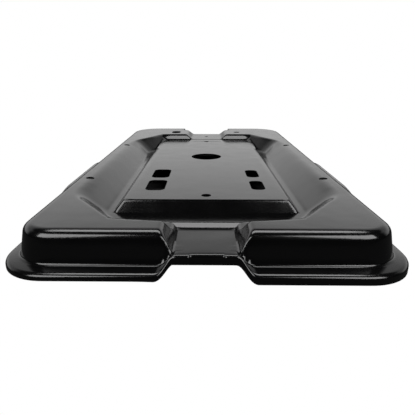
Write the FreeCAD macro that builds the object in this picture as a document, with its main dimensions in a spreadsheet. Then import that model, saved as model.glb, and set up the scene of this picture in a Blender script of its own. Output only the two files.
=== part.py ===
import FreeCAD, Part
import os
import Sketcher

# Pressed steel battery tray. One sheet, drawn in a die: a turned-down lip,
# a narrow flange, a raised rim with a basin sunk into it, and a platform
# that stands in the basin and carries the battery.
# X runs across the tray, Y from front to rear, Z up. The origin is the
# centre of the plan at the lowest edge of the lip.
# The sheet is what lies between two skins. Each skin is the same form, and
# the lower one is set off from the upper one by the gauge of the sheet.

DOC = FreeCAD.newDocument("battery_tray")
SHEET = DOC.addObject("Spreadsheet::Sheet", "Sizes")
SHEET.Label = "Sizes"

SIZES = [
    # The gauge of the sheet and the levels of its floors
    ("gauge", 1.5),
    ("flange_level", 8.2),
    ("trough_level", 14.5),
    ("landing_level", 18.5),
    ("platform_level", 27.5),
    ("rim_level", 36.5),
    # Plan of the flange, and of the rim that rises inside it
    ("tray_width", 345.0),
    ("tray_length", 650.8),
    ("flange_reach", 11.0),
    ("front_flange_reach", 14.2),
    ("wall_slope", 79.0),
    ("front_corner_radius", 33.0),
    ("rear_corner_radius", 40.0),
    # The basin in the rim, and the corners that it cuts off
    ("side_rim_width", 30.5),
    ("front_rim_width", 29.6),
    ("rear_rim_width", 100.0),
    ("shoulder_width", 45.0),
    ("shoulder_start", 18.0),
    ("shoulder_end", 68.0),
    ("rear_shoulder_width", 43.0),
    ("rear_shoulder_length", 74.0),
    ("basin_slope", 45.0),
    ("basin_corner_radius", 30.0),
    # The platform in the basin
    ("platform_width", 178.0),
    ("front_trough_length", 86.6),
    ("platform_slope", 52.0),
    ("platform_corner_radius", 8.0),
    # The sill behind the landing
    ("sill_width", 92.0),
    ("sill_slope", 26.0),
    # The front notch, whose floor is the landing, and the ramp behind it
    ("landing_width", 60.0),
    ("landing_set_back", 12.8),
    ("landing_length", 56.0),
    ("landing_ramp_length", 8.0),
    ("landing_ramp_slope", 30.0),
    ("notch_slope", 56.0),
    # The rear notch, at the platform's level, and the bay that sets its wall in
    ("rear_notch_width", 58.0),
    ("rear_notch_slope", 38.0),
    ("rear_bay_length", 47.0),
    ("rear_bay_width", 86.0),
    ("rear_bay_bend", 9.0),
    # The flange climbs at the landing and along both sides
    ("landing_tab_width", 54.0),
    ("side_tab_level", 24.9),
    ("side_tab_length", 145.0),
    ("side_tab_middle", -70.1),
    ("tab_slope", 45.0),
    ("side_tab_slope", 14.0),
    ("lip_depth", 8.5),
    # Bends
    ("rim_bend", 7.0),
    ("foot_bend", 3.0),
    ("lip_bend", 4.0),
    ("basin_bend", 8.0),
    ("trough_bend", 6.0),
    ("platform_bend", 3.0),
    # Holes in the platform
    ("centre_hole", 47.8),
    ("centre_hole_y", 32.2),
    ("front_hole", 10.9),
    ("front_hole_inset", 15.0),
    ("rear_hole", 9.0),
    ("rear_hole_inset", 36.4),
    ("notch_hole", 7.3),
    ("notch_hole_inset", 28.0),
    ("slot_inset", 56.8),
    ("slot_pitch", 57.1),
    ("left_slot_x", -60.1),
    ("left_slot_width", 23.0),
    ("left_slot_length", 45.5),
    ("right_slot_x", 61.4),
    ("right_slot_width", 16.5),
    ("right_slot_length", 39.5),
    ("slot_radius", 5.5),
    # Holes in the rim
    ("side_hole", 10.0),
    ("side_hole_inset", 21.5),
    ("side_hole_y", -139.5),
    ("side_hole_pitch", 228.0),
    ("rear_rim_hole_x", 64.4),
    ("rear_rim_hole_inset", 31.0),
    ("right_rim_hole", 12.8),
    ("left_rim_slot_width", 18.0),
    ("left_rim_slot_length", 30.0),
]

for row, (alias, value) in enumerate(SIZES, start=1):
    SHEET.set(f"A{row}", alias)
    SHEET.set(f"B{row}", str(value))
    SHEET.setAlias(f"B{row}", alias)
DOC.recompute()

def size(alias):
    return float(SHEET.get(alias))


def value_of(text):
    """The present value of a formula on the sheet."""
    value = SHEET.evalExpression(text)
    return float(getattr(value, "Value", value))


def ground_plane(body):
    for feature in body.Origin.OriginFeatures:
        if feature.Role == "XY_Plane":
            return feature
    raise RuntimeError("no ground plane")


def outline(body, name, level, corners):
    """A closed polygon at a height; level and corners are formulas on the sheet."""
    sketch = body.newObject("Sketcher::SketchObject", name)
    sketch.AttachmentSupport = [(ground_plane(body), "")]
    sketch.MapMode = "FlatFace"
    sketch.setExpression("AttachmentOffset.Base.z", level)
    places = [(value_of(x), value_of(y)) for x, y in corners]
    count = len(places)
    for index in range(count):
        start = FreeCAD.Vector(*places[index], 0)
        end = FreeCAD.Vector(*places[(index + 1) % count], 0)
        sketch.addGeometry(Part.LineSegment(start, end), False)
    for index in range(count):
        following = (index + 1) % count
        sketch.addConstraint(Sketcher.Constraint("Coincident", index, 2, following, 1))
    for index, (x, y) in enumerate(corners):
        across = Sketcher.Constraint("DistanceX", -1, 1, index, 1, places[index][0])
        along = Sketcher.Constraint("DistanceY", -1, 1, index, 1, places[index][1])
        sketch.setExpression(f"Constraints[{sketch.addConstraint(across)}]", x)
        sketch.setExpression(f"Constraints[{sketch.addConstraint(along)}]", y)
    return sketch


def block(name, low_level, low, high_level, high):
    """A body that runs straight from one outline up to another."""
    body = DOC.addObject("PartDesign::Body", name)
    loft = body.newObject("PartDesign::AdditiveLoft", f"{name}_loft")
    loft.Profile = outline(body, f"{name}_low", low_level, low)
    loft.Sections = [outline(body, f"{name}_high", high_level, high)]
    loft.Ruled = True
    DOC.recompute()
    return body


def tapered(name, low_level, low, rise, flare):
    """A body that climbs from one outline, and widens by an angle as it climbs."""
    body = DOC.addObject("PartDesign::Body", name)
    pad = body.newObject("PartDesign::Pad", f"{name}_pad")
    pad.Profile = outline(body, f"{name}_low", low_level, low)
    pad.setExpression("Length", rise)
    pad.setExpression("TaperAngle", flare)
    DOC.recompute()
    return body


def edges_where(shape, wanted):
    return [f"Edge{number}" for number, edge in enumerate(shape.Edges, start=1) if wanted(edge)]


def bend(body, name, wanted, radius):
    """Rounds the edges of a body that a test picks."""
    tip = body.Tip
    fillet = body.newObject("PartDesign::Fillet", name)
    fillet.Base = (tip, edges_where(tip.Shape, wanted))
    fillet.setExpression("Radius", radius)
    DOC.recompute()
    return fillet


def climbing(edge):
    return edge.BoundBox.ZLength > 1.0


def lying_at(level):
    """A test for the edges that lie at a level."""
    def wanted(edge):
        box = edge.BoundBox
        return abs(box.ZMin - level) < 0.01 and abs(box.ZMax - level) < 0.01
    return wanted


def mirrored(corners):
    """The corners of a left half, joined by their mirror images."""
    return corners + [(f"-({x})", y) for x, y in reversed(corners)]


def heading(start, end):
    return f"atan2({end[1]} - ({start[1]}); {end[0]} - ({start[0]}))"


def wall_corner(corner, before, after):
    """Where two leaning walls meet. Each is its heading in plan and how far it has moved in."""
    heading_in, inset_in = before
    heading_out, inset_out = after
    turn = f"sin({heading_out} - ({heading_in}))"
    x = f"{corner[0]} + (({inset_in}) * cos({heading_out}) - ({inset_out}) * cos({heading_in})) / {turn}"
    y = f"{corner[1]} + (({inset_in}) * sin({heading_out}) - ({inset_out}) * sin({heading_in})) / {turn}"
    return x, y


def run(level_change, slope):
    """How far a wall moves in plan while it climbs."""
    return f"({level_change}) / tan({slope} * 1deg)"


def shift(skin, slope):
    """How far a bend moves in plan from the upper skin to a lower one."""
    return f"({skin}) * tan({slope} * 0.5deg)"


HALF = "Sizes.tray_width / 2"
END = "Sizes.tray_length / 2"
BASIN_HALF = f"({HALF} - Sizes.flange_reach - Sizes.side_rim_width)"
BASIN_FRONT = f"(Sizes.front_flange_reach + Sizes.front_rim_width - {END})"
BASIN_REAR = f"({END} - Sizes.flange_reach - Sizes.rear_rim_width)"
PLATFORM_FRONT = f"({BASIN_FRONT} + Sizes.front_trough_length)"
LANDING_EDGE = f"({END} - Sizes.landing_set_back)"
LANDING_BACK = f"(Sizes.landing_length - {LANDING_EDGE})"

# How far a body runs on inside another, and a space beyond what it cuts
OVERRUN = "10"


def box_outline(half_width, front, rear):
    return mirrored([(f"-({half_width})", rear), (f"-({half_width})", front)])


def on_basin_brow(edge, level):
    """The edge where the basin opens in the rim, not the rim's own outer bend."""
    box = edge.BoundBox
    slack = size("gauge")
    across = max(abs(box.XMin), abs(box.XMax)) < value_of(BASIN_HALF) + slack
    along = box.YMin > value_of(BASIN_FRONT) - slack and box.YMax < value_of(BASIN_REAR) + slack
    return lying_at(level)(edge) and across and along


def skin_form(tag, skin):
    """The whole form of one skin, at a depth below the upper surface of the sheet."""
    wall_in = shift(skin, "Sizes.wall_slope")
    wall_run = run("Sizes.rim_level - Sizes.flange_level", "Sizes.wall_slope")
    depth = value_of(skin)

    def level(alias):
        return f"Sizes.{alias} - ({skin})"

    def level_value(alias):
        return size(alias) - depth

    # The flange, with its lip
    flange_low = f"0 - ({skin})"
    flange_plan = box_outline(f"{HALF} - ({skin})", f"-({END} - ({skin}))", f"{END} - ({skin})")
    flange = tapered(f"flange_{tag}", flange_low, flange_plan, "Sizes.flange_level", "0")
    bend(flange, f"flange_front_corners_{tag}",
         lambda edge: climbing(edge) and edge.BoundBox.YMax < 0,
         f"Sizes.front_corner_radius + Sizes.flange_reach - ({skin})")
    bend(flange, f"flange_rear_corners_{tag}",
         lambda edge: climbing(edge) and edge.BoundBox.YMin > 0,
         f"Sizes.rear_corner_radius + Sizes.flange_reach - ({skin})")
    bend(flange, f"lip_bend_{tag}", lying_at(level_value("flange_level")), f"Sizes.lip_bend - ({skin})")

    # The rim
    rim_plan = box_outline(f"{HALF} - Sizes.flange_reach - {wall_in}",
                           f"-({END} - Sizes.front_flange_reach - {wall_in})",
                           f"{END} - Sizes.flange_reach - {wall_in}")
    rim = tapered(f"rim_{tag}", level("flange_level"), rim_plan,
                  "Sizes.rim_level - Sizes.flange_level", "Sizes.wall_slope - 90")
    bend(rim, f"rim_front_corners_{tag}",
         lambda edge: climbing(edge) and edge.BoundBox.YMax < 0,
         f"Sizes.front_corner_radius - ({skin})")
    bend(rim, f"rim_rear_corners_{tag}",
         lambda edge: climbing(edge) and edge.BoundBox.YMin > 0,
         f"Sizes.rear_corner_radius - ({skin})")
    bend(rim, f"rim_bend_{tag}", lying_at(level_value("rim_level")), f"Sizes.rim_bend - ({skin})")

    # The basin, as the space that is sunk into the rim
    drop = "Sizes.rim_level - Sizes.trough_level"
    inset = run(drop, "Sizes.basin_slope") + " - " + shift(skin, "Sizes.basin_slope")
    corners = [
        (f"Sizes.rear_shoulder_width - {BASIN_HALF}", BASIN_REAR),
        (f"-{BASIN_HALF}", f"{BASIN_REAR} - Sizes.rear_shoulder_length"),
        (f"-{BASIN_HALF}", f"{BASIN_FRONT} + Sizes.shoulder_end"),
        (f"Sizes.shoulder_width - {BASIN_HALF}", f"{BASIN_FRONT} + Sizes.shoulder_start"),
        ("-Sizes.landing_width / 2", BASIN_FRONT),
    ]
    walls = [("180deg", inset)]
    for index in range(len(corners) - 1):
        walls.append((heading(corners[index], corners[index + 1]), inset))
    walls.append(("0deg", inset))
    basin_plan = mirrored([wall_corner(corner, walls[index], walls[index + 1])
                           for index, corner in enumerate(corners)])
    above = "Sizes.gauge * 2"
    basin = tapered(f"basin_{tag}", level("trough_level"), basin_plan,
                    f"{drop} + {above}", "90 - Sizes.basin_slope")
    bend(basin, f"basin_corners_{tag}",
         lambda edge: climbing(edge) and abs(edge.BoundBox.Center.x) > size("landing_width"),
         f"Sizes.basin_corner_radius + ({skin})")
    bend(basin, f"trough_bend_{tag}", lying_at(level_value("trough_level")),
         f"Sizes.trough_bend + ({skin})")

    # The platform
    def platform_plan(drop):
        out = run(drop, "Sizes.platform_slope") + " - " + shift(skin, "Sizes.platform_slope")
        return box_outline(f"Sizes.platform_width / 2 + {out}", f"{PLATFORM_FRONT} - ({out})",
                           f"{BASIN_REAR} + {OVERRUN}")

    rear_wall = value_of(BASIN_REAR)
    platform = tapered(f"platform_{tag}", "0", platform_plan("Sizes.platform_level"),
                       level("platform_level"), "Sizes.platform_slope - 90")
    bend(platform, f"platform_corners_{tag}",
         lambda edge: climbing(edge) and edge.BoundBox.YMax < 0,
         f"Sizes.platform_corner_radius - ({skin})")
    bend(platform, f"platform_bend_{tag}",
         lambda edge: lying_at(level_value("platform_level"))(edge) and edge.BoundBox.YMin < rear_wall,
         f"Sizes.platform_bend - ({skin})")

    # The sill, which falls from its crest towards the trough and at both ends
    crest = "Sizes.landing_level + Sizes.landing_ramp_length * tan(Sizes.landing_ramp_slope * 1deg)"

    def sill_plan(at):
        fall = f"({crest} - {at})"
        back = run(fall, "Sizes.sill_slope") + " - " + shift(skin, "Sizes.sill_slope")
        side = run(fall, "Sizes.basin_slope") + " - " + shift(skin, "Sizes.basin_slope")
        return box_outline(f"Sizes.sill_width / 2 + {side}", f"{BASIN_FRONT} - Sizes.rim_bend",
                           f"{LANDING_BACK} + Sizes.landing_ramp_length + {back}")

    sill = block(f"sill_{tag}", "0", sill_plan("0"),
                 level("platform_level"), sill_plan("Sizes.platform_level"))

    # The front notch, as the space above the landing and its ramp
    def notch_plan(climb):
        side = run(climb, "Sizes.notch_slope") + " + " + shift(skin, "Sizes.notch_slope")
        back = run(climb, "Sizes.landing_ramp_slope") + " + " + shift(skin, "Sizes.landing_ramp_slope")
        return box_outline(f"Sizes.landing_width / 2 + {side}", f"-({END} + {OVERRUN})",
                           f"{LANDING_BACK} + {back}")

    notch = block(f"notch_{tag}", level("landing_level"), notch_plan("0"),
                  level("rim_level") + f" + {above}",
                  notch_plan(f"Sizes.rim_level - Sizes.landing_level + {above}"))

    # The rear notch, as the space above the platform's level
    def rear_notch_plan(climb):
        side = run(climb, "Sizes.rear_notch_slope") + " + " + shift(skin, "Sizes.rear_notch_slope")
        return box_outline(f"Sizes.rear_notch_width / 2 + {side}", f"{BASIN_REAR} - Sizes.rim_level",
                           f"{END} + {OVERRUN}")

    rear_notch = block(f"rear_notch_{tag}", level("platform_level"), rear_notch_plan("0"),
                       level("rim_level") + f" + {above}",
                       rear_notch_plan(f"Sizes.rim_level - Sizes.platform_level + {above}"))

    # The bay, as the space behind the rear notch, down to the flange
    bay_shift = shift(skin, "Sizes.wall_slope")
    bay_plan = mirrored([
        (f"-(Sizes.rear_bay_width / 2 + {bay_shift})", f"{END} + {OVERRUN}"),
        (f"-(Sizes.rear_bay_width / 2 + {bay_shift})",
         f"{END} - Sizes.rear_bay_length + {wall_run} - {bay_shift}"),
    ])
    bay = tapered(f"rear_bay_{tag}", level("flange_level"), bay_plan,
                  f"Sizes.rim_level - Sizes.flange_level + {above}", "90 - Sizes.wall_slope")
    bend(bay, f"rear_bay_corners_{tag}",
         lambda edge: climbing(edge) and edge.BoundBox.YMax < size("tray_length") / 2,
         f"Sizes.rear_bay_bend + ({skin})")

    # The flange's climb to the landing
    def tab_plan(drop):
        side = run(drop, "Sizes.tab_slope") + " - " + shift(skin, "Sizes.tab_slope")
        return box_outline(f"Sizes.landing_tab_width / 2 + {side}", f"-({LANDING_EDGE} - ({skin}))",
                           f"{BASIN_FRONT} - Sizes.rim_bend")

    tab = block(f"landing_tab_{tag}", flange_low, tab_plan(f"Sizes.landing_level - ({flange_low})"),
                level("landing_level"), tab_plan("0"))

    # The flange's climb along each side
    def side_tab_plan(drop, hand):
        out = run(drop, "Sizes.side_tab_slope") + " - " + shift(skin, "Sizes.side_tab_slope")
        near = f"Sizes.side_tab_middle - Sizes.side_tab_length / 2 - ({out})"
        far = f"Sizes.side_tab_middle + Sizes.side_tab_length / 2 + {out}"
        outer = f"{hand} * ({HALF} - ({skin}))"
        inner = f"{hand} * ({HALF} - Sizes.flange_reach * 2)"
        return [(outer, near), (outer, far), (inner, far), (inner, near)]

    side_tabs = [block(f"{side}_tab_{tag}",
                       flange_low, side_tab_plan(f"Sizes.side_tab_level - ({flange_low})", hand),
                       level("side_tab_level"), side_tab_plan("0", hand))
                 for side, hand in (("left", "-1"), ("right", "1"))]

    raised = DOC.addObject("Part::MultiFuse", f"raised_{tag}")
    raised.Shapes = [flange, rim]
    sunk = DOC.addObject("Part::Cut", f"sunk_{tag}")
    sunk.Base = raised
    sunk.Tool = basin
    DOC.recompute()
    brow = DOC.addObject("Part::Fillet", f"basin_brow_{tag}")
    brow.Base = sunk
    brow_radius = size("basin_bend") - depth
    brow.Edges = [(number, brow_radius, brow_radius)
                  for number, edge in enumerate(sunk.Shape.Edges, start=1)
                  if on_basin_brow(edge, level_value("rim_level"))]
    filled = DOC.addObject("Part::MultiFuse", f"filled_{tag}")
    filled.Shapes = [brow, platform, sill]
    spaces = DOC.addObject("Part::MultiFuse", f"spaces_{tag}")
    spaces.Shapes = [notch, rear_notch, bay]
    notched = DOC.addObject("Part::Cut", f"notched_{tag}")
    notched.Base = filled
    notched.Tool = spaces
    form = DOC.addObject("Part::MultiFuse", f"form_{tag}")
    form.Shapes = [notched, tab] + side_tabs
    DOC.recompute()
    return form


UPPER = skin_form("upper", "0")
LOWER = skin_form("lower", "Sizes.gauge")

# The lip hangs a little way below the flange where the flange climbs
TRIM_START = "-2 * Sizes.gauge"

LANDING_TRIM_LEVEL = "Sizes.landing_level - Sizes.lip_depth"
SIDE_TRIM_LEVEL = "Sizes.side_tab_level - Sizes.lip_depth"


def landing_trim_plan(climb):
    half_width = ("Sizes.landing_tab_width / 2 - Sizes.gauge + "
                  + run(f"{LANDING_TRIM_LEVEL} - ({climb})", "Sizes.tab_slope"))
    return box_outline(half_width, f"-({END} + {OVERRUN})",
                       f"-({END} - Sizes.front_flange_reach - Sizes.foot_bend)")


def side_trim_plan(climb, hand):
    out = run(f"{SIDE_TRIM_LEVEL} - ({climb})", "Sizes.side_tab_slope") + " - Sizes.gauge"
    near = f"Sizes.side_tab_middle - Sizes.side_tab_length / 2 - ({out})"
    far = f"Sizes.side_tab_middle + Sizes.side_tab_length / 2 + {out}"
    outer = f"{hand} * ({HALF} + {OVERRUN})"
    inner = f"{hand} * ({HALF} - Sizes.lip_bend)"
    return [(outer, near), (outer, far), (inner, far), (inner, near)]


TRIMS = [block("landing_trim", TRIM_START, landing_trim_plan(TRIM_START),
               LANDING_TRIM_LEVEL, landing_trim_plan(LANDING_TRIM_LEVEL))]
for side, hand in (("left", "-1"), ("right", "1")):
    TRIMS.append(block(f"{side}_trim", TRIM_START, side_trim_plan(TRIM_START, hand),
                       SIDE_TRIM_LEVEL, side_trim_plan(SIDE_TRIM_LEVEL, hand)))


# The punched holes
def drill(name, across, along, diameter):
    hole = DOC.addObject("Part::Cylinder", name)
    hole.setExpression("Radius", f"{diameter} / 2")
    hole.setExpression("Height", "Sizes.rim_level * 2")
    hole.setExpression("Placement.Base.x", across)
    hole.setExpression("Placement.Base.y", along)
    return hole


def slot(name, across, along, width, length, radius):
    """A punch with rounded corners, long from front to rear."""
    body = DOC.addObject("PartDesign::Body", name)
    plan = [(f"{across} - {width} / 2", f"{along} + {length} / 2"),
            (f"{across} - {width} / 2", f"{along} - {length} / 2"),
            (f"{across} + {width} / 2", f"{along} - {length} / 2"),
            (f"{across} + {width} / 2", f"{along} + {length} / 2")]
    pad = body.newObject("PartDesign::Pad", f"{name}_pad")
    pad.Profile = outline(body, f"{name}_plan", "0", plan)
    pad.setExpression("Length", "Sizes.rim_level * 2")
    DOC.recompute()
    bend(body, f"{name}_corners", climbing, radius)
    return body


REAR_RIM_HOLES = f"{BASIN_REAR} + Sizes.rear_rim_hole_inset"
NEARLY_ROUND_END = "Sizes.left_rim_slot_width * 0.49"
PUNCHES = [
    drill("centre_hole_punch", "0", "Sizes.centre_hole_y", "Sizes.centre_hole"),
    drill("front_hole_punch", "0", f"{PLATFORM_FRONT} + Sizes.front_hole_inset", "Sizes.front_hole"),
    drill("rear_hole_punch", "0", f"{BASIN_REAR} - Sizes.rear_hole_inset", "Sizes.rear_hole"),
    drill("notch_hole_punch", "0", f"{BASIN_REAR} + Sizes.notch_hole_inset", "Sizes.notch_hole"),
    drill("right_rim_hole_punch", "Sizes.rear_rim_hole_x", REAR_RIM_HOLES, "Sizes.right_rim_hole"),
    slot("left_rim_slot_punch", "-Sizes.rear_rim_hole_x", REAR_RIM_HOLES,
         "Sizes.left_rim_slot_width", "Sizes.left_rim_slot_length", NEARLY_ROUND_END),
]
for number, row in enumerate(("near", "far")):
    side_hole_row = f"Sizes.side_hole_y + {number} * Sizes.side_hole_pitch"
    slot_row = f"{PLATFORM_FRONT} + Sizes.slot_inset + {number} * Sizes.slot_pitch"
    for side, hand in (("left", "-1"), ("right", "1")):
        side_hole_x = f"{hand} * ({HALF} - Sizes.flange_reach - Sizes.side_hole_inset)"
        PUNCHES.append(drill(f"{side}_{row}_side_hole_punch", side_hole_x, side_hole_row, "Sizes.side_hole"))
        PUNCHES.append(slot(f"{side}_{row}_slot_punch", f"Sizes.{side}_slot_x", slot_row,
                            f"Sizes.{side}_slot_width", f"Sizes.{side}_slot_length", "Sizes.slot_radius"))

WASTE = DOC.addObject("Part::MultiFuse", "waste")
WASTE.Shapes = [LOWER] + TRIMS + PUNCHES
TRAY = DOC.addObject("Part::Cut", "tray")
TRAY.Label = "tray"
TRAY.Base = UPPER
TRAY.Tool = WASTE
DOC.recompute()


def check_model():
    for thing in DOC.Objects:
        if "Invalid" in thing.State or "Error" in thing.State:
            raise RuntimeError(f"{thing.Name} failed: {thing.State}")
    if TRAY.Shape.isNull() or not TRAY.Shape.isValid():
        raise RuntimeError("the tray's shape is not valid")
    if len(TRAY.Shape.Solids) != 1:
        raise RuntimeError(f"the tray is {len(TRAY.Shape.Solids)} solids, not one sheet")


check_model()
os.makedirs("parts", exist_ok=True)
TRAY.Shape.exportStep(f"parts/{TRAY.Label}.step")
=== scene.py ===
import math

import bpy
import numpy as np
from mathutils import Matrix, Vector


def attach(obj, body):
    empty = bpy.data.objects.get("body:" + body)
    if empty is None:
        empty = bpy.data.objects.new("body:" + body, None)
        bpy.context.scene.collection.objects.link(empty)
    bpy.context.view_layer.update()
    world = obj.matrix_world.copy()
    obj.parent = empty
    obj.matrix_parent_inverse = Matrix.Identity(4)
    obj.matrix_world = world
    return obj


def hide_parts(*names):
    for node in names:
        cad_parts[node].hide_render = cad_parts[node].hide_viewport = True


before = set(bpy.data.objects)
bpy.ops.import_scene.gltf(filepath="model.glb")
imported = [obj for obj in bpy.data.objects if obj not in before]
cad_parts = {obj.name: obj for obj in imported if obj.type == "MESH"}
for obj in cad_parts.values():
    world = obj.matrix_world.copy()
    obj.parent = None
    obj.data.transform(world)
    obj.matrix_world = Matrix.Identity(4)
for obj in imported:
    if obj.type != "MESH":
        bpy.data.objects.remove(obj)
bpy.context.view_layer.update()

# A pressed steel battery tray in gloss black paint, seen low from the front.
# The tray's sizes are millimetres in the part's own frame: X across, Y to the
# rear, Z up from the lip. The mesh repeats the solid's form with the soft
# bends of a real pressing. The floor and the lamps are in metres.

MM = 0.001

# Levels
GAUGE = 1.5
FLANGE_LEVEL = 8.2
TROUGH_LEVEL = 14.5
LANDING_LEVEL = 18.5
PLATFORM_LEVEL = 27.5
RIM_LEVEL = 36.5

# Plan of the flange and the rim; the flange is wider in front than elsewhere
HALF_WIDTH = 172.5
HALF_LENGTH = 325.4
FLANGE_REACH = 11.0
FRONT_FLANGE_REACH = 14.2
WALL_SLOPE = 79.0
FRONT_CORNER = 44.0
REAR_CORNER = 68.0
LIP_BEND = 3.4
FOOT_BEND = 3.0
RIM_BEND = 8.5
LEFT_LIP_END = 2.4

# Basin, platform, sill, notches
BASIN_HALF = 131.0
BASIN_FRONT = -283.0
BASIN_SHOULDER = (86.0, -274.5)
BASIN_SIDE_START = -212.0
BASIN_SIDE_END = 140.4
BASIN_REAR = 214.4
BASIN_REAR_X = 88.0
PLATFORM_HALF = 89.0
PLATFORM_FRONT = -195.0
PLATFORM_SLOPE = 52.0
PLATFORM_FRONT_SLOPE = 66.0
PLATFORM_FOOT = -200.79
SILL_HALF = 46.0
SILL_CREST = -248.6
SILL_SLOPE = 26.0
SILL_TOP = 25.0
LANDING_HALF = 26.5
LANDING_BACK = -256.6
LANDING_RAMP = 30.0
LANDING_EDGE = 312.6
RAMP_FLARE = 14.0
NOTCH_SLOPE = 62.0
SET_BACK_REACH = 26.0
RECESS_LEFT = -13.2
RECESS_RIGHT = 15.1
RECESS_STEP = 1.2
RECESS_DEPTH = 1.6
REAR_NOTCH_HALF = 29.0
REAR_NOTCH_SLOPE = 38.0
BAY_EDGE = 278.4
BAY_HALF = 43.0

# Where the flange climbs
TAB_HALF = 27.0
TAB_SLOPE = 45.0
SIDE_TAB_LEVEL = 24.9
SIDE_TAB_MIDDLE = -70.1
SIDE_TAB_LENGTH = 145.0
SIDE_TAB_SLOPE = 14.0

# Blends: the difference in height over which two surfaces run into each other
BASIN_CORNER_BLEND = 7.0
BASIN_REAR_BLEND = 4.0
BASIN_FRONT_BLEND = 8.0
BASIN_FOOT_BLEND = 3.2
PLATFORM_CORNER_BLEND = 3.0
PLATFORM_EDGE_BLEND = 1.6
SILL_CORNER_BLEND = 3.0
SILL_TOP_BLEND = 2.0
SILL_FOOT_BLEND = 1.0
RAMP_SIDE_BLEND = 2.0
RAMP_FOOT_BLEND = 2.6
REAR_NOTCH_CORNER_BLEND = 3.0
REAR_NOTCH_FOOT_BLEND = 2.0
REAR_NOTCH_BROW = 2.4
BAY_CORNER_BLEND = 12.0
BAY_FOOT_BLEND = 3.0
BAY_BROW = 2.2
TAB_BLEND = 3.0
SIDE_TAB_BLEND = 5.0
CLIMB_FOOT_BLEND = 4.0
CLIMB_WALL_BLEND = 1.5

# Where along Y each form applies, and where the flange counts as front or side
SILL_ZONE_FRONT = -288.0
SILL_ZONE_REAR = -225.0
FRONT_NOTCH_ZONE = -215.0
REAR_NOTCH_ZONE = 150.0
BAY_ZONE = 240.0
FRONT_FLANGE_ZONE = -280.0
SIDE_FLANGE_ZONE = 140.0
REAR_NOTCH_RUN = 30.0

# The basin's brow is sharp in front, wide along the sides and softer at the rear
FRONT_BROW = 1.8
SIDE_BROW = 9.2
REAR_BROW = 3.6

# The rings of the mesh run round the tray from the lip to this far inside it
RING_DEPTH = 30.5

# The stretch before each corner over which a ring's points spread out to reach it
CORNER_SPREAD = 24.0


def slope(degrees):
    return math.tan(math.radians(degrees))


def smooth_min(a, b, blend):
    """The lower of two surfaces, with a bend that is a blend wide each side."""
    mix = np.clip(0.5 + 0.5 * (b - a) / blend, 0.0, 1.0)
    return b + (a - b) * mix - blend * mix * (1.0 - mix)


def smooth_max(a, b, blend):
    return -smooth_min(-a, -b, blend)


def smooth_step(low, high, value):
    t = np.clip((value - low) / (high - low), 0.0, 1.0)
    return t * t * (3.0 - 2.0 * t)


def beyond_line(x, y, start, end):
    """How far a point lies to the right of the line from start to end."""
    along = np.array(end) - np.array(start)
    along = along / np.hypot(*along)
    return (x - start[0]) * along[1] - (y - start[1]) * along[0]


def basin_surface(x, y):
    """The basin's floor and the walls that rise from it, each at 45 degrees."""
    ax = np.abs(x)
    side = ax - BASIN_HALF
    rear = y - BASIN_REAR
    rear_corner = -beyond_line(ax, y, (BASIN_REAR_X, BASIN_REAR), (BASIN_HALF, BASIN_SIDE_END))
    shoulder = beyond_line(ax, y, BASIN_SHOULDER, (BASIN_HALF, BASIN_SIDE_START))
    front = beyond_line(ax, y, (LANDING_HALF, BASIN_FRONT), BASIN_SHOULDER)
    walls = smooth_max(side, rear_corner, BASIN_CORNER_BLEND)
    walls = smooth_max(walls, rear, BASIN_REAR_BLEND)
    walls = smooth_max(walls, shoulder, BASIN_FRONT_BLEND)
    walls = smooth_max(walls, front, BASIN_FRONT_BLEND)
    return RIM_LEVEL + walls


def platform_surface(x, y):
    side = PLATFORM_LEVEL + (PLATFORM_HALF - np.abs(x)) * slope(PLATFORM_SLOPE)
    front = PLATFORM_LEVEL + (y - PLATFORM_FRONT) * slope(PLATFORM_FRONT_SLOPE)
    walls = smooth_min(side, front, PLATFORM_CORNER_BLEND)
    return smooth_min(walls, np.full_like(x, PLATFORM_LEVEL), PLATFORM_EDGE_BLEND)


def sill_surface(x, y):
    """The low bank between the front trough and the ramp down to the landing."""
    crest = LANDING_LEVEL + (SILL_CREST - LANDING_BACK) * slope(LANDING_RAMP)
    back = crest - (y - SILL_CREST) * slope(SILL_SLOPE)
    side = crest - (np.abs(x) - SILL_HALF)
    bank = smooth_min(back, side, SILL_CORNER_BLEND)
    return smooth_min(bank, np.full_like(x, SILL_TOP), SILL_TOP_BLEND)


def front_notch_surface(x, y):
    up_ramp = np.clip((y - LANDING_BACK) / (SILL_CREST - LANDING_BACK), 0.0, 1.0)
    half = LANDING_HALF + RAMP_FLARE * up_ramp
    side = LANDING_LEVEL + (np.abs(x) - half) * slope(NOTCH_SLOPE)
    ramp = LANDING_LEVEL + (y - LANDING_BACK) * slope(LANDING_RAMP)
    walls = smooth_max(side, ramp, RAMP_SIDE_BLEND)
    return smooth_max(walls, np.full_like(x, LANDING_LEVEL), RAMP_FOOT_BLEND)


def rear_notch_surface(x, y):
    side = PLATFORM_LEVEL + (np.abs(x) - REAR_NOTCH_HALF) * slope(REAR_NOTCH_SLOPE)
    start = PLATFORM_LEVEL + (BASIN_REAR - REAR_NOTCH_RUN - y)
    walls = smooth_max(side, start, REAR_NOTCH_CORNER_BLEND)
    return smooth_max(walls, np.full_like(x, PLATFORM_LEVEL), REAR_NOTCH_FOOT_BLEND)


def bay_surface(x, y):
    run = (RIM_LEVEL - FLANGE_LEVEL) / slope(WALL_SLOPE)
    side = FLANGE_LEVEL + (np.abs(x) - BAY_HALF) * slope(WALL_SLOPE)
    front = FLANGE_LEVEL + (BAY_EDGE + run - y) * slope(WALL_SLOPE)
    walls = smooth_max(side, front, BAY_CORNER_BLEND)
    return smooth_max(walls, np.full_like(x, FLANGE_LEVEL), BAY_FOOT_BLEND)


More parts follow.
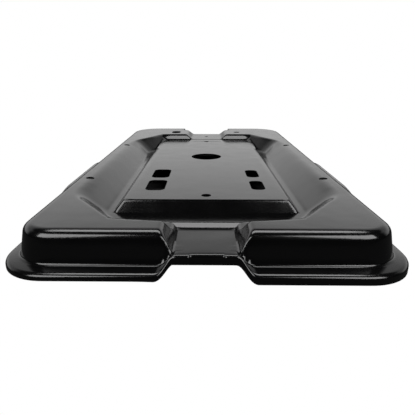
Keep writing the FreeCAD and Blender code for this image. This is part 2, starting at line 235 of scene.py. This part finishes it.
def flange_climb(x, y):
    """The level of the flange, which climbs at the landing and along both sides."""
    landing = LANDING_LEVEL + (TAB_HALF - np.abs(x)) * slope(TAB_SLOPE)
    landing = smooth_min(landing, np.full_like(x, LANDING_LEVEL), TAB_BLEND)
    landing = np.where(y < FRONT_FLANGE_ZONE, landing, 0.0)
    reach = SIDE_TAB_LENGTH / 2 - np.abs(y - SIDE_TAB_MIDDLE)
    side = SIDE_TAB_LEVEL + reach * slope(SIDE_TAB_SLOPE)
    side = smooth_min(side, np.full_like(x, SIDE_TAB_LEVEL), SIDE_TAB_BLEND)
    side = np.where(np.abs(x) > SIDE_FLANGE_ZONE, side, 0.0)
    climb = smooth_max(landing, side, TAB_BLEND)
    return smooth_max(climb, np.full_like(x, FLANGE_LEVEL), CLIMB_FOOT_BLEND)


def form_height(x, y, crown):
    """The pressing's upper surface above a point, under a crown that closes the rim."""
    side_zone = smooth_step(-235.0, -185.0, y) * (1.0 - smooth_step(90.0, 165.0, y))
    brow = FRONT_BROW + SIDE_BROW * side_zone + REAR_BROW * smooth_step(175.0, 200.0, y)
    basin = basin_surface(x, y)
    basin = smooth_max(basin, np.full_like(x, TROUGH_LEVEL), BASIN_FOOT_BLEND)
    z = smooth_min(basin, crown, brow)
    platform_foot = 0.03 + 1.17 * smooth_step(-200.0, -185.0, y)
    z = smooth_max(z, platform_surface(x, y), platform_foot)
    in_sill_zone = (y > SILL_ZONE_FRONT) & (y < SILL_ZONE_REAR)
    z = smooth_max(z, np.where(in_sill_zone, sill_surface(x, y), 0.0), SILL_FOOT_BLEND)
    notch_brow = 2.0 + 4.0 * smooth_step(-250.0, -258.0, y)
    z = np.where(y < FRONT_NOTCH_ZONE, smooth_min(z, front_notch_surface(x, y), notch_brow), z)
    z = np.where(y > REAR_NOTCH_ZONE, smooth_min(z, rear_notch_surface(x, y), REAR_NOTCH_BROW), z)
    return np.where(y > BAY_ZONE, smooth_min(z, bay_surface(x, y), BAY_BROW), z)


# The stations of the grid, closer together where the form bends

def stations(spans):
    """Grid lines from spans of (start, end, step), which follow one another."""
    lines = []
    for start, end, step in spans:
        count = max(1, round((end - start) / step))
        lines.extend(np.linspace(start, end, count, endpoint=False))
    lines.append(spans[-1][1])
    return np.array(lines)


HALF_GRID = HALF_WIDTH - RING_DEPTH
FRONT_GRID = HALF_LENGTH - RING_DEPTH - (FRONT_FLANGE_REACH - FLANGE_REACH)
REAR_GRID = HALF_LENGTH - RING_DEPTH
RIGHT_HALF = stations([(0.0, 10.0, 5.0), (10.0, 18.0, 0.8), (18.0, 25.0, 3.5), (25.0, 49.0, 1.6),
                       (49.0, 84.0, 7.0), (84.0, 93.0, 1.0), (93.0, 104.0, 1.6),
                       (104.0, 124.0, 2.2), (124.0, HALF_GRID, 2.3)])
ACROSS = np.concatenate([-RIGHT_HALF[:0:-1], RIGHT_HALF])
ALONG = stations([(-FRONT_GRID, -260.0, 1.9), (-260.0, -244.0, 1.0), (-244.0, -211.0, 2.4),
                  (-211.0, -191.0, 1.0), (-191.0, -158.0, 5.0), (-158.0, 112.0, 7.5),
                  (112.0, 192.0, 3.6), (192.0, 220.0, 1.6), (220.0, 270.0, 5.0),
                  (270.0, 285.0, 0.8), (285.0, REAR_GRID, 3.0)])


def rounded_loop(inset):
    """One point for each station round the tray, at an inset from its edge.

    The loop runs from the front left corner to the right, then to the rear and
    back. Stations that fall on a corner are spread along its arc."""
    half_x = HALF_WIDTH - inset
    reach_share = min(1.0, inset / FLANGE_REACH)
    front_y = HALF_LENGTH - inset - (FRONT_FLANGE_REACH - FLANGE_REACH) * reach_share
    rear_y = HALF_LENGTH - inset
    points = []

    def place(x, y):
        """Adds a point of the square outline, moved on to the rounded one."""
        radius = (FRONT_CORNER if y < 0 else REAR_CORNER) - inset
        half_y = front_y if y < 0 else rear_y
        out_x = abs(x) - (half_x - radius)
        out_y = abs(y) - (half_y - radius)
        if out_x > 0 and out_y > 0:
            if out_x >= out_y:
                angle = math.pi / 4 * out_y / radius
            else:
                angle = math.pi / 2 - math.pi / 4 * out_x / radius
            x = math.copysign(half_x - radius + radius * math.cos(angle), x)
            y = math.copysign(half_y - radius + radius * math.sin(angle), y)
        points.append((x, y))

    def spread(value, grid_end, outer_end):
        """Keeps the stations of the straight stretches where they are."""
        inner = grid_end - CORNER_SPREAD
        if abs(value) <= inner:
            return value
        share = (abs(value) - inner) / CORNER_SPREAD
        return math.copysign(inner + share * (outer_end - inner), value)

    def spread_along(y):
        return spread(y, FRONT_GRID, front_y) if y < 0 else spread(y, REAR_GRID, rear_y)

    for x in ACROSS[:-1]:
        place(spread(x, HALF_GRID, half_x), -front_y)
    for y in ALONG[:-1]:
        place(half_x, spread_along(y))
    for x in ACROSS[:0:-1]:
        place(spread(x, HALF_GRID, half_x), rear_y)
    for y in ALONG[:0:-1]:
        place(-half_x, spread_along(y))
    return np.array(points)


def arc_steps(count):
    return np.linspace(0.0, 1.0, count)


def rim_profile():
    """The section from the lip to the rim as (inset, height)."""
    lean = math.radians(90.0 - WALL_SLOPE)
    section = [(0.0, 0.0), (0.0, 2.0)]
    for t in arc_steps(6):
        turn = t * math.pi / 2
        section.append((LIP_BEND * (1 - math.cos(turn)), FLANGE_LEVEL - LIP_BEND * (1 - math.sin(turn))))
    sweep = math.pi / 2 - lean
    foot_reach = FOOT_BEND * math.tan(sweep / 2)
    foot_start = FLANGE_REACH - foot_reach
    for t in arc_steps(5):
        turn = t * sweep
        section.append((foot_start + FOOT_BEND * math.sin(turn),
                        FLANGE_LEVEL + FOOT_BEND * (1 - math.cos(turn))))
    foot = section[-1]
    crown_reach = RIM_BEND * math.tan(sweep / 2)
    crown_corner = FLANGE_REACH + (RIM_LEVEL - FLANGE_LEVEL) * math.tan(lean)
    crown_end = crown_corner + crown_reach
    bend_start = (crown_end - RIM_BEND * math.sin(sweep), RIM_LEVEL - RIM_BEND * (1 - math.cos(sweep)))
    for t in (0.33, 0.67):
        section.append((foot[0] + (bend_start[0] - foot[0]) * t,
                        foot[1] + (bend_start[1] - foot[1]) * t))
    for t in arc_steps(8):
        turn = sweep * (1 - t)
        section.append((crown_end - RIM_BEND * math.sin(turn),
                        RIM_LEVEL - RIM_BEND * (1 - math.cos(turn))))
    for inset in np.linspace(crown_end + 2.0, RING_DEPTH, 4):
        section.append((float(inset), RIM_LEVEL))
    return section


def build_sheet():
    """The tray's upper surface as vertices and quads."""
    section = rim_profile()
    rings = []
    for inset, level in section:
        loop = rounded_loop(inset)
        x = loop[:, 0].copy()
        y = loop[:, 1].copy()
        climb = flange_climb(x, y)
        on_flange = inset <= FLANGE_REACH - FOOT_BEND
        if on_flange:
            lip_end = LEFT_LIP_END * smooth_step(20.0, -60.0, x) * max(0.0, 1.0 - level / LIP_BEND)
            z = level + climb - FLANGE_LEVEL + lip_end
        else:
            z = form_height(x, y, np.full_like(x, level))
            steep = np.maximum(smooth_step(23.0, 27.0, np.abs(x)), 0.02)
            z = smooth_max(z, climb, CLIMB_WALL_BLEND * steep)
        reach = FLANGE_REACH + (SET_BACK_REACH - FLANGE_REACH) * smooth_step(28.0, 23.5, np.abs(x))
        share = np.maximum(0.0, 1.0 - inset / reach)
        set_back = (HALF_LENGTH - LANDING_EDGE) * share
        raised = np.clip((climb - FLANGE_LEVEL) / (LANDING_LEVEL - FLANGE_LEVEL), 0.0, 1.0)
        left_step = smooth_step(RECESS_LEFT - RECESS_STEP, RECESS_LEFT + RECESS_STEP, x)
        right_step = smooth_step(RECESS_RIGHT + RECESS_STEP, RECESS_RIGHT - RECESS_STEP, x)
        middle = left_step * right_step
        set_back = set_back + RECESS_DEPTH * middle * share
        y = np.where(y < FRONT_FLANGE_ZONE, y + set_back * raised, y)
        rings.append(np.stack([x, y, z], axis=1))
    edge = rings[-1][:, :2]
    columns = len(ACROSS)
    rows = len(ALONG)
    front = edge[:columns]
    right = edge[columns - 1:columns + rows - 1]
    rear = edge[columns + rows - 2:2 * columns + rows - 2][::-1]
    left = np.concatenate([edge[2 * columns + rows - 3:], edge[:1]])[::-1]
    share_x = (ACROSS - ACROSS[0]) / (ACROSS[-1] - ACROSS[0])
    share_y = (ALONG - ALONG[0]) / (ALONG[-1] - ALONG[0])
    s, t = np.meshgrid(share_x, share_y, indexing="ij")
    s = s[..., None]
    t = t[..., None]
    plan = ((1 - t) * front[:, None, :] + t * rear[:, None, :]
            + (1 - s) * left[None, :, :] + s * right[None, :, :]
            - (1 - s) * (1 - t) * front[0] - s * (1 - t) * front[-1]
            - (1 - s) * t * rear[0] - s * t * rear[-1])
    x = plan[..., 0]
    y = plan[..., 1]
    y = np.where(np.abs(y - PLATFORM_FOOT) < 0.51, PLATFORM_FOOT, y)
    inner = form_height(x, y, np.full_like(x, RIM_LEVEL))
    inner_points = np.stack([x, y, inner], axis=2)

    vertices = []
    ring_numbers = []
    count = len(edge)
    for ring in rings[:-1]:
        ring_numbers.append(list(range(len(vertices), len(vertices) + count)))
        vertices.extend(map(tuple, ring))
    grid = np.arange(columns * rows).reshape(columns, rows) + len(vertices)
    vertices.extend(map(tuple, inner_points.reshape(-1, 3)))
    boundary = ([grid[i, 0] for i in range(columns - 1)]
                + [grid[-1, j] for j in range(rows - 1)]
                + [grid[i, -1] for i in range(columns - 1, 0, -1)]
                + [grid[0, j] for j in range(rows - 1, 0, -1)])
    ring_numbers.append([int(number) for number in boundary])
    faces = []
    for outer, inward in zip(ring_numbers[:-1], ring_numbers[1:]):
        for index in range(count):
            following = (index + 1) % count
            faces.append((outer[index], outer[following], inward[following], inward[index]))
    for i in range(columns - 1):
        for j in range(rows - 1):
            faces.append((int(grid[i, j]), int(grid[i + 1, j]),
                          int(grid[i + 1, j + 1]), int(grid[i, j + 1])))
    return np.array(vertices), faces


def new_object(name, mesh):
    thing = bpy.data.objects.new(name, mesh)
    bpy.context.scene.collection.objects.link(thing)
    return thing


def prism(name, plan, low, high):
    """A closed prism for punching a hole, from a plan in millimetres."""
    mesh = bpy.data.meshes.new(name)
    count = len(plan)
    points = [(x * MM, y * MM, z * MM) for z in (low, high) for x, y in plan]
    faces = [tuple(range(count - 1, -1, -1)), tuple(range(count, 2 * count))]
    for index in range(count):
        following = (index + 1) % count
        faces.append((index, following, count + following, count + index))
    mesh.from_pydata(points, [], faces)
    mesh.validate()
    return new_object(name, mesh)


def round_plan(x, y, diameter, count=48):
    radius = diameter / 2
    turns = [2 * math.pi * k / count for k in range(count)]
    return [(x + radius * math.cos(turn), y + radius * math.sin(turn)) for turn in turns]


def slot_plan(x, y, width, length, radius, steps=8):
    plan = []
    for quarter, (sign_x, sign_y) in enumerate([(1, 1), (-1, 1), (-1, -1), (1, -1)]):
        centre_x = x + sign_x * (width / 2 - radius)
        centre_y = y + sign_y * (length / 2 - radius)
        for step in range(steps + 1):
            turn = math.pi / 2 * (quarter + step / steps)
            plan.append((centre_x + radius * math.cos(turn), centre_y + radius * math.sin(turn)))
    return plan


HOLES = [
    round_plan(0.0, 32.2, 47.8, 72),
    round_plan(0.0, -180.0, 10.9),
    round_plan(0.0, 178.0, 9.0),
    round_plan(0.0, 242.4, 7.3),
    round_plan(64.4, 245.4, 12.8),
    slot_plan(-64.4, 245.4, 18.0, 30.0, 8.9, 12),
]
for row_y in (-138.2, -81.1):
    HOLES.append(slot_plan(-60.1, row_y, 23.0, 45.5, 7.0))
    HOLES.append(slot_plan(61.4, row_y, 16.5, 39.5, 6.5))
for side_x in (-140.0, 140.0):
    HOLES.append(round_plan(side_x, -139.5, 10.0))
    HOLES.append(round_plan(side_x, 88.5, 10.0))


def make_tray():
    vertices, faces = build_sheet()
    mesh = bpy.data.meshes.new("pressed_tray")
    mesh.from_pydata([tuple(point) for point in vertices * MM], [], faces)
    mesh.validate()
    mesh.update()
    tray = new_object("pressed_tray", mesh)
    thickness = tray.modifiers.new("gauge", "SOLIDIFY")
    thickness.thickness = GAUGE * MM
    thickness.offset = -1.0
    thickness.use_even_offset = False
    cutters = [prism(f"punch_{number}", plan, -5.0, 60.0) for number, plan in enumerate(HOLES)]
    bpy.context.view_layer.objects.active = cutters[0]
    for cutter in cutters:
        cutter.select_set(True)
    with bpy.context.temp_override(active_object=cutters[0], selected_editable_objects=cutters,
                                   selected_objects=cutters):
        bpy.ops.object.join()
    punch = cutters[0]
    cut = tray.modifiers.new("holes", "BOOLEAN")
    cut.operation = "DIFFERENCE"
    cut.solver = "EXACT"
    cut.object = punch
    graph = bpy.context.evaluated_depsgraph_get()
    finished = bpy.data.meshes.new_from_object(tray.evaluated_get(graph))
    tray.modifiers.clear()
    tray.data = finished
    tray.data.name = "pressed_tray"
    bpy.data.objects.remove(punch)
    tray.data.polygons.foreach_set("use_smooth", [True] * len(tray.data.polygons))
    tray.data.set_sharp_from_angle(angle=math.radians(40.0))
    return tray


def paint_material():
    """Gloss black paint over pressed steel, with orange peel and slow press waves."""
    material = bpy.data.materials.new("gloss_black_paint")
    material.use_nodes = True
    nodes = material.node_tree.nodes
    links = material.node_tree.links
    shader = nodes["Principled BSDF"]
    shader.inputs["Base Color"].default_value = (0.0018, 0.0018, 0.0019, 1.0)
    shader.inputs["IOR"].default_value = 1.5
    place = nodes.new("ShaderNodeTexCoord")

    def noise(scale, detail):
        texture = nodes.new("ShaderNodeTexNoise")
        texture.inputs["Scale"].default_value = scale
        texture.inputs["Detail"].default_value = detail
        links.new(place.outputs["Object"], texture.inputs["Vector"])
        return texture

    peel = noise(420.0, 1.0)
    waves = noise(28.0, 1.5)
    cloud = noise(60.0, 3.0)
    rough = nodes.new("ShaderNodeMapRange")
    rough.inputs["To Min"].default_value = 0.10
    rough.inputs["To Max"].default_value = 0.20
    links.new(cloud.outputs["Fac"], rough.inputs["Value"])
    links.new(rough.outputs["Result"], shader.inputs["Roughness"])
    wave_bump = nodes.new("ShaderNodeBump")
    wave_bump.inputs["Strength"].default_value = 0.25
    wave_bump.inputs["Distance"].default_value = 0.0012
    links.new(waves.outputs["Fac"], wave_bump.inputs["Height"])
    peel_bump = nodes.new("ShaderNodeBump")
    peel_bump.inputs["Strength"].default_value = 0.18
    peel_bump.inputs["Distance"].default_value = 0.00012
    links.new(peel.outputs["Fac"], peel_bump.inputs["Height"])
    links.new(wave_bump.outputs["Normal"], peel_bump.inputs["Normal"])
    links.new(peel_bump.outputs["Normal"], shader.inputs["Normal"])
    return material


TRAY = make_tray()
TRAY.data.materials.clear()
TRAY.data.materials.append(paint_material())
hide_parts("tray")
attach(TRAY, "root")


# The stage: a floor that is white to the camera, with painted shade under and right beside the tray,
# where the camera sees its dark matte colour

def floor_material():
    material = bpy.data.materials.new("floor_white_painted_shade")
    material.use_nodes = True
    nodes = material.node_tree.nodes
    links = material.node_tree.links
    nodes.clear()

    def calculate(operation, value, limit):
        node = nodes.new("ShaderNodeMath")
        node.operation = operation
        links.new(value, node.inputs[0])
        if isinstance(limit, float):
            node.inputs[1].default_value = limit
        else:
            links.new(limit, node.inputs[1])
        return node.outputs[0]

    output = nodes.new("ShaderNodeOutputMaterial")
    matte = nodes.new("ShaderNodeBsdfDiffuse")
    matte.inputs["Color"].default_value = (0.03, 0.03, 0.03, 1.0)
    glow = nodes.new("ShaderNodeEmission")
    glow.inputs["Strength"].default_value = 1.0
    seen = nodes.new("ShaderNodeLightPath")
    place = nodes.new("ShaderNodeTexCoord")
    split = nodes.new("ShaderNodeSeparateXYZ")
    links.new(place.outputs["Object"], split.inputs["Vector"])
    # Painted shade: inside this mask the camera sees the dark matte floor, under the tray and past its
    # outline beside the raised flanges
    across = calculate("ABSOLUTE", split.outputs["X"], 0.0)
    middle = calculate("LESS_THAN", calculate("ABSOLUTE", split.outputs["Y"], 0.0), TAB_SHADE_REACH * MM)
    wider = calculate("MULTIPLY", middle, (TAB_SHADE_HALF - SHADE_HALF) * MM)
    reach = calculate("ADD", wider, SHADE_HALF * MM)
    beside = calculate("GREATER_THAN", across, reach)
    ahead = calculate("LESS_THAN", split.outputs["Y"], SHADE_FRONT * MM)
    behind = calculate("GREATER_THAN", split.outputs["Y"], SHADE_REAR * MM)
    open_floor = calculate("MAXIMUM", calculate("MAXIMUM", beside, ahead), behind)
    white = calculate("MULTIPLY", open_floor, seen.outputs["Is Camera Ray"])
    mix = nodes.new("ShaderNodeMixShader")
    links.new(white, mix.inputs["Fac"])
    links.new(matte.outputs["BSDF"], mix.inputs[1])
    links.new(glow.outputs["Emission"], mix.inputs[2])
    links.new(mix.outputs["Shader"], output.inputs["Surface"])
    return material


# The painted shade on the floor: where it shows its dark matte colour to the camera, under the tray and
# wider beside the raised flanges
SHADE_HALF = 160.0
TAB_SHADE_HALF = 188.0
TAB_SHADE_REACH = 150.0
SHADE_FRONT = -292.0
SHADE_REAR = 276.0

floor_mesh = bpy.data.meshes.new("floor")
FLOOR_HALF = 4.0
floor_mesh.from_pydata([(-FLOOR_HALF, -FLOOR_HALF, 0), (FLOOR_HALF, -FLOOR_HALF, 0),
                        (FLOOR_HALF, FLOOR_HALF, 0), (-FLOOR_HALF, FLOOR_HALF, 0)], [], [(0, 1, 2, 3)])
FLOOR = new_object("floor", floor_mesh)
FLOOR.location.z = -0.0005
FLOOR.data.materials.append(floor_material())

# Camera, as found from the photograph's vanishing point
LENS = 33.43
CAMERA_PLACE = (0.0, -588.4, 155.0)
TILT_DOWN = 19.15
YAW = 0.67
SHIFT_X = 0.0135
camera_data = bpy.data.cameras.new("camera")
camera_data.lens = LENS
camera_data.sensor_width = 36.0
camera_data.shift_x = SHIFT_X
camera_data.clip_start = 0.01
CAMERA = new_object("camera", camera_data)
CAMERA.location = [value * MM for value in CAMERA_PLACE]
CAMERA.rotation_euler = (math.radians(90.0 - TILT_DOWN), 0.0, math.radians(YAW))
bpy.context.scene.camera = CAMERA


def soft_box(name, place, target, width, height, power):
    light_data = bpy.data.lights.new(name, "AREA")
    light_data.shape = "RECTANGLE"
    light_data.size = width
    light_data.size_y = height
    light_data.energy = power
    light = new_object(name, light_data)
    light.location = place
    direction = Vector(target) - Vector(place)
    light.rotation_euler = direction.to_track_quat("-Z", "Y").to_euler()
    return light


soft_box("overhead", (0.0, 0.1, 1.6), (0.0, 0.0, 0.0), 1.6, 0.8, 22.0)
soft_box("front_left", (-0.92, -1.35, 0.98), (0.0, -0.3, 0.0), 0.9, 1.0, 17.0)
soft_box("front_right", (0.92, -1.35, 0.98), (0.0, -0.3, 0.0), 0.9, 1.0, 17.0)

# The world: pale behind the tray up to a height and fading with it, dark above and in front
WORLD = bpy.data.worlds.new("studio")
bpy.context.scene.world = WORLD
WORLD.use_nodes = True
world_nodes = WORLD.node_tree.nodes
world_links = WORLD.node_tree.links
background = world_nodes["Background"]
texture_place = world_nodes.new("ShaderNodeTexCoord")
split = world_nodes.new("ShaderNodeSeparateXYZ")
world_links.new(texture_place.outputs["Generated"], split.inputs["Vector"])


def world_math(operation, first, second=None):
    node = world_nodes.new("ShaderNodeMath")
    node.operation = operation
    for index, value in enumerate((first, second)):
        if value is None:
            continue
        if isinstance(value, (int, float)):
            node.inputs[index].default_value = value
        else:
            world_links.new(value, node.inputs[index])
    return node.outputs[0]


def world_ramp(value, low, high):
    node = world_nodes.new("ShaderNodeMapRange")
    node.interpolation_type = "SMOOTHSTEP"
    world_links.new(value, node.inputs["Value"])
    node.inputs["From Min"].default_value = low
    node.inputs["From Max"].default_value = high
    return node.outputs["Result"]


BACKDROP_TOP = 0.62
TOP_SOFTNESS = 0.05
BACKDROP_SIDE = 0.05
above_top = world_ramp(split.outputs["Z"], BACKDROP_TOP - TOP_SOFTNESS, BACKDROP_TOP + TOP_SOFTNESS)
below_top = world_math("SUBTRACT", 1.0, above_top)
behind = world_ramp(split.outputs["Y"], BACKDROP_SIDE - 0.1, BACKDROP_SIDE + 0.25)
backdrop = world_math("MULTIPLY", below_top, behind)
BACKDROP_LIGHT = 0.87
BACKDROP_FADE = 0.38
DARK_LIGHT = 0.004
FADE_START = 0.31
FADE_END = 0.48
HORIZON_DARK = 0.04
HORIZON_LIGHT = 0.12
fade = world_math("MULTIPLY", world_ramp(split.outputs["Z"], FADE_START, FADE_END), BACKDROP_FADE)
above_floor = world_ramp(split.outputs["Z"], HORIZON_DARK, HORIZON_LIGHT)
backdrop_light = world_math("MULTIPLY", world_math("SUBTRACT", BACKDROP_LIGHT, fade), above_floor)
brightness = world_math("ADD", world_math("MULTIPLY", backdrop, backdrop_light), DARK_LIGHT)
path = world_nodes.new("ShaderNodeLightPath")
seen_or_lit = world_math("MAXIMUM", path.outputs["Is Camera Ray"], brightness)
world_links.new(seen_or_lit, background.inputs["Strength"])
background.inputs["Color"].default_value = (1.0, 1.0, 1.0, 1.0)

bpy.context.scene.view_settings.view_transform = "Standard"
